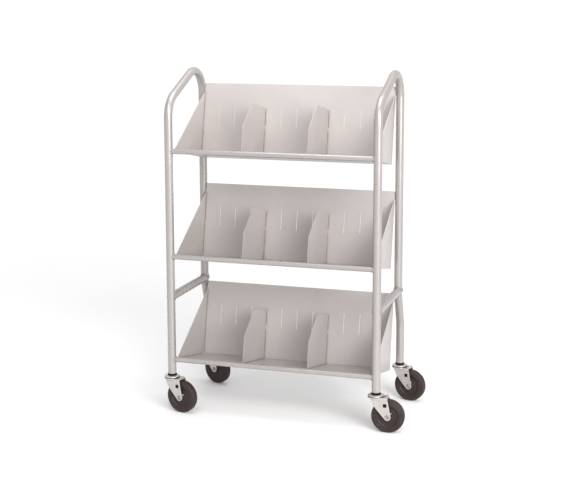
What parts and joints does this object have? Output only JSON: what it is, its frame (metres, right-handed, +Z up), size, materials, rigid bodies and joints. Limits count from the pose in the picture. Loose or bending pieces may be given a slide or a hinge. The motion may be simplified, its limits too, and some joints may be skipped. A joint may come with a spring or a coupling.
{
  "type": "book cart",
  "caption": "Rolling book cart: bent-tube end frames with sloped handles, tilted V-trough shelves with slotted backs and pull-out dividers, on swivel casters.",
  "frame": {"origin": "on the floor, at the middle of the footprint with the casters trailing as at rest", "axes": "+X across the cart to its right as seen from the front, +Y from the shelf openings to the backs, +Z up"},
  "size_m": [0.7648, 0.3768, 1.0605],
  "materials": {
    "frame_paint": "silver-grey powder coat, satin",
    "shelf_paint": "silver-grey powder coat on sheet steel, satin",
    "divider_paint": "silver-grey powder coat on sheet steel, satin",
    "weld_paint": "painted weld beads",
    "zinc_steel": "zinc-plated pressed steel",
    "bright_steel": "bright zinc plate",
    "collar_rubber": "black moulded rubber",
    "wheel_core": "dark moulded wheel centre",
    "wheel_rubber": "dark solid rubber"
  },
  "bodies": {
    "frame": {"end_tube_left": "frame_paint", "brace_left": "frame_paint", "rear_leg_left": "frame_paint", "end_tube_right": "frame_paint", "brace_right": "frame_paint", "rear_leg_right": "frame_paint", "front_rail_bottom": "frame_paint", "tray_bottom": "shelf_paint", "end_panel_bottom_left": "shelf_paint", "end_panel_bottom_right": "shelf_paint", "front_rail_middle": "frame_paint", "tray_middle": "shelf_paint", "end_panel_middle_left": "shelf_paint", "end_panel_middle_right": "shelf_paint", "front_rail_top": "frame_paint", "tray_top": "shelf_paint", "end_panel_top_left": "shelf_paint", "end_panel_top_right": "shelf_paint", "rail_welds": "weld_paint", "frame_welds": "weld_paint", "back_welds": "weld_paint", "stem_front_left": "zinc_steel", "collar_front_left": "collar_rubber", "raceway_front_left": "bright_steel", "stem_front_right": "zinc_steel", "collar_front_right": "collar_rubber", "raceway_front_right": "bright_steel", "stem_rear_left": "zinc_steel", "collar_rear_left": "collar_rubber", "raceway_rear_left": "bright_steel", "stem_rear_right": "zinc_steel", "collar_rear_right": "collar_rubber", "raceway_rear_right": "bright_steel"},
    "caster_front_left": {"fork_front_left": "zinc_steel", "axle_front_left": "bright_steel", "bushing_front_left": "bright_steel"},
    "caster_front_right": {"fork_front_right": "zinc_steel", "axle_front_right": "bright_steel", "bushing_front_right": "bright_steel"},
    "caster_rear_left": {"fork_rear_left": "zinc_steel", "axle_rear_left": "bright_steel", "bushing_rear_left": "bright_steel"},
    "caster_rear_right": {"fork_rear_right": "zinc_steel", "axle_rear_right": "bright_steel", "bushing_rear_right": "bright_steel"},
    "wheel_front_left": {"hub_front_left": "wheel_core", "tyre_front_left": "wheel_rubber"},
    "wheel_front_right": {"hub_front_right": "wheel_core", "tyre_front_right": "wheel_rubber"},
    "wheel_rear_left": {"hub_rear_left": "wheel_core", "tyre_rear_left": "wheel_rubber"},
    "wheel_rear_right": {"hub_rear_right": "wheel_core", "tyre_rear_right": "wheel_rubber"},
    "divider_bottom_left": {"divider_bottom_left": "divider_paint"},
    "divider_bottom_right": {"divider_bottom_right": "divider_paint"},
    "divider_middle_left": {"divider_middle_left": "divider_paint"},
    "divider_middle_right": {"divider_middle_right": "divider_paint"},
    "divider_top_left": {"divider_top_left": "divider_paint"},
    "divider_top_right": {"divider_top_right": "divider_paint"}
  },
  "joints": [
    {"name": "swivel_front_left", "type": "hinge", "parent": "frame", "child": "caster_front_left", "pos_m": [-0.35777, -0.15797, 0.1094], "axis": [0, 0, 1], "continuous": true},
    {"name": "spin_front_left", "type": "hinge", "parent": "caster_front_left", "child": "wheel_front_left", "pos_m": [-0.32165, -0.16598, 0.05], "axis": [0.2164, 0.9763, 0], "continuous": true},
    {"name": "swivel_front_right", "type": "hinge", "parent": "frame", "child": "caster_front_right", "pos_m": [0.29503, -0.15797, 0.1094], "axis": [0, 0, 1], "continuous": true},
    {"name": "spin_front_right", "type": "hinge", "parent": "caster_front_right", "child": "wheel_front_right", "pos_m": [0.33198, -0.15603, 0.05], "axis": [-0.0523, 0.9986, 0], "continuous": true},
    {"name": "swivel_rear_left", "type": "hinge", "parent": "frame", "child": "caster_rear_left", "pos_m": [-0.35777, 0.16383, 0.1094], "axis": [0, 0, 1], "continuous": true},
    {"name": "spin_rear_left", "type": "hinge", "parent": "caster_rear_left", "child": "wheel_rear_left", "pos_m": [-0.32371, 0.14937, 0.05], "axis": [0.3907, 0.9205, 0], "continuous": true},
    {"name": "swivel_rear_right", "type": "hinge", "parent": "frame", "child": "caster_rear_right", "pos_m": [0.29503, 0.16383, 0.1094], "axis": [0, 0, 1], "continuous": true},
    {"name": "spin_rear_right", "type": "hinge", "parent": "caster_rear_right", "child": "wheel_rear_right", "pos_m": [0.33141, 0.15709, 0.05], "axis": [0.1822, 0.9833, 0], "continuous": true},
    {"name": "pull_out_bottom_left", "type": "slide", "parent": "frame", "child": "divider_bottom_left", "axis": [0, -0.866, 0.5], "range_m": [0, 0.34]},
    {"name": "pull_out_bottom_right", "type": "slide", "parent": "frame", "child": "divider_bottom_right", "axis": [0, -0.866, 0.5], "range_m": [0, 0.34]},
    {"name": "pull_out_middle_left", "type": "slide", "parent": "frame", "child": "divider_middle_left", "axis": [0, -0.866, 0.5], "range_m": [0, 0.34]},
    {"name": "pull_out_middle_right", "type": "slide", "parent": "frame", "child": "divider_middle_right", "axis": [0, -0.866, 0.5], "range_m": [0, 0.34]},
    {"name": "pull_out_top_left", "type": "slide", "parent": "frame", "child": "divider_top_left", "axis": [0, -0.866, 0.5], "range_m": [0, 0.34]},
    {"name": "pull_out_top_right", "type": "slide", "parent": "frame", "child": "divider_top_right", "axis": [0, -0.866, 0.5], "range_m": [0, 0.34]}
  ]
}
